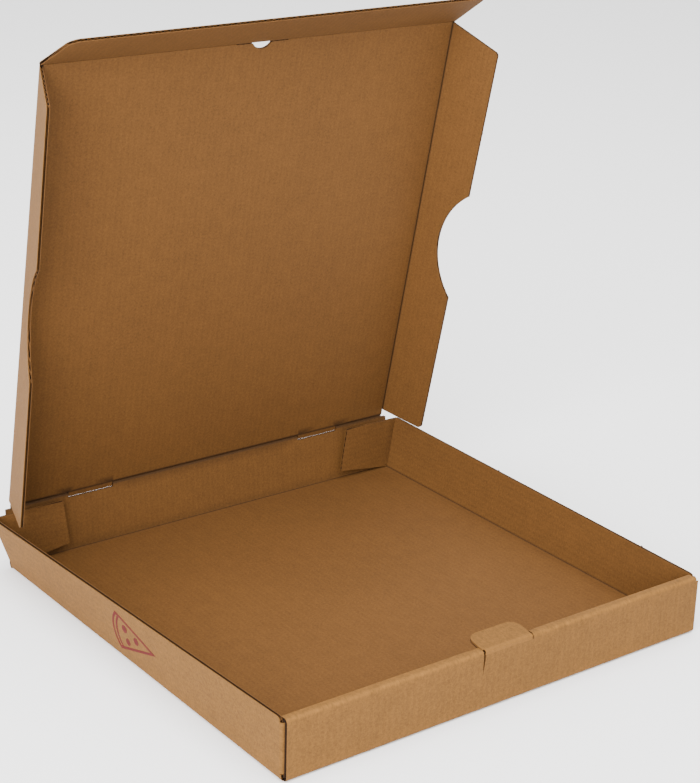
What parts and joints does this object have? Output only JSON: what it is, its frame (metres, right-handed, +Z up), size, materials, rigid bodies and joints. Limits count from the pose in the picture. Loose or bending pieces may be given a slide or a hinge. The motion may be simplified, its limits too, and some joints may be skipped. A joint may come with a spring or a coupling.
{
  "type": "pizza box",
  "caption": "Square fold-up pizza box of kraft fluted board, standing open: shallow tray with rolled-over front wall and lock tab, hinged lid with side flaps and a front flap.",
  "frame": {"origin": "centre of the tray's flat underside", "axes": "+Z up, -Y towards the front wall with the lock tab, +Y towards the lid's hinge, +X to the right seen from the front"},
  "size_m": [0.2593, 0.2508, 0.2832],
  "materials": {
    "kraft_board": "matte"
  },
  "bodies": {
    "tray": {"tray": "kraft_board"},
    "lid": {"lid_panel": "kraft_board"},
    "front_flap": {"lid_front_flap": "kraft_board"},
    "left_flap": {"lid_left_flap": "kraft_board"},
    "right_flap": {"lid_right_flap": "kraft_board"},
    "tab": {"lock_tab": "kraft_board"}
  },
  "joints": [
    {"name": "lid_hinge", "type": "hinge", "parent": "tray", "child": "lid", "pos_m": [0, 0.12594, 0.0322], "axis": [1, 0, 0], "range_deg": [-45, 78.2]},
    {"name": "front_flap_fold", "type": "hinge", "parent": "lid", "child": "front_flap", "pos_m": [0, 0.0762, 0.26638], "axis": [1, 0, 0], "range_deg": [-32, 55]},
    {"name": "left_flap_fold", "type": "hinge", "parent": "lid", "child": "left_flap", "pos_m": [-0.1182, 0.10062, 0.1495], "axis": [0, -0.2045, 0.9789], "range_deg": [-13, 22.5]},
    {"name": "right_flap_fold", "type": "hinge", "parent": "lid", "child": "right_flap", "pos_m": [0.1182, 0.10062, 0.1495], "axis": [0, 0.2045, -0.9789], "range_deg": [-11, 18.5]},
    {"name": "lock_tab_fold", "type": "hinge", "parent": "tray", "child": "tab", "pos_m": [0, -0.12285, 0.0292], "axis": [1, 0, 0], "range_deg": [-35, 61]}
  ],
  "couplings": [
    {"joint": "front_flap_fold", "follows": "lid_hinge", "ratio": 0.69054},
    {"joint": "left_flap_fold", "follows": "lid_hinge", "ratio": 0.28133},
    {"joint": "right_flap_fold", "follows": "lid_hinge", "ratio": 0.23018},
    {"joint": "lock_tab_fold", "follows": "lid_hinge", "ratio": 0.76726}
  ]
}
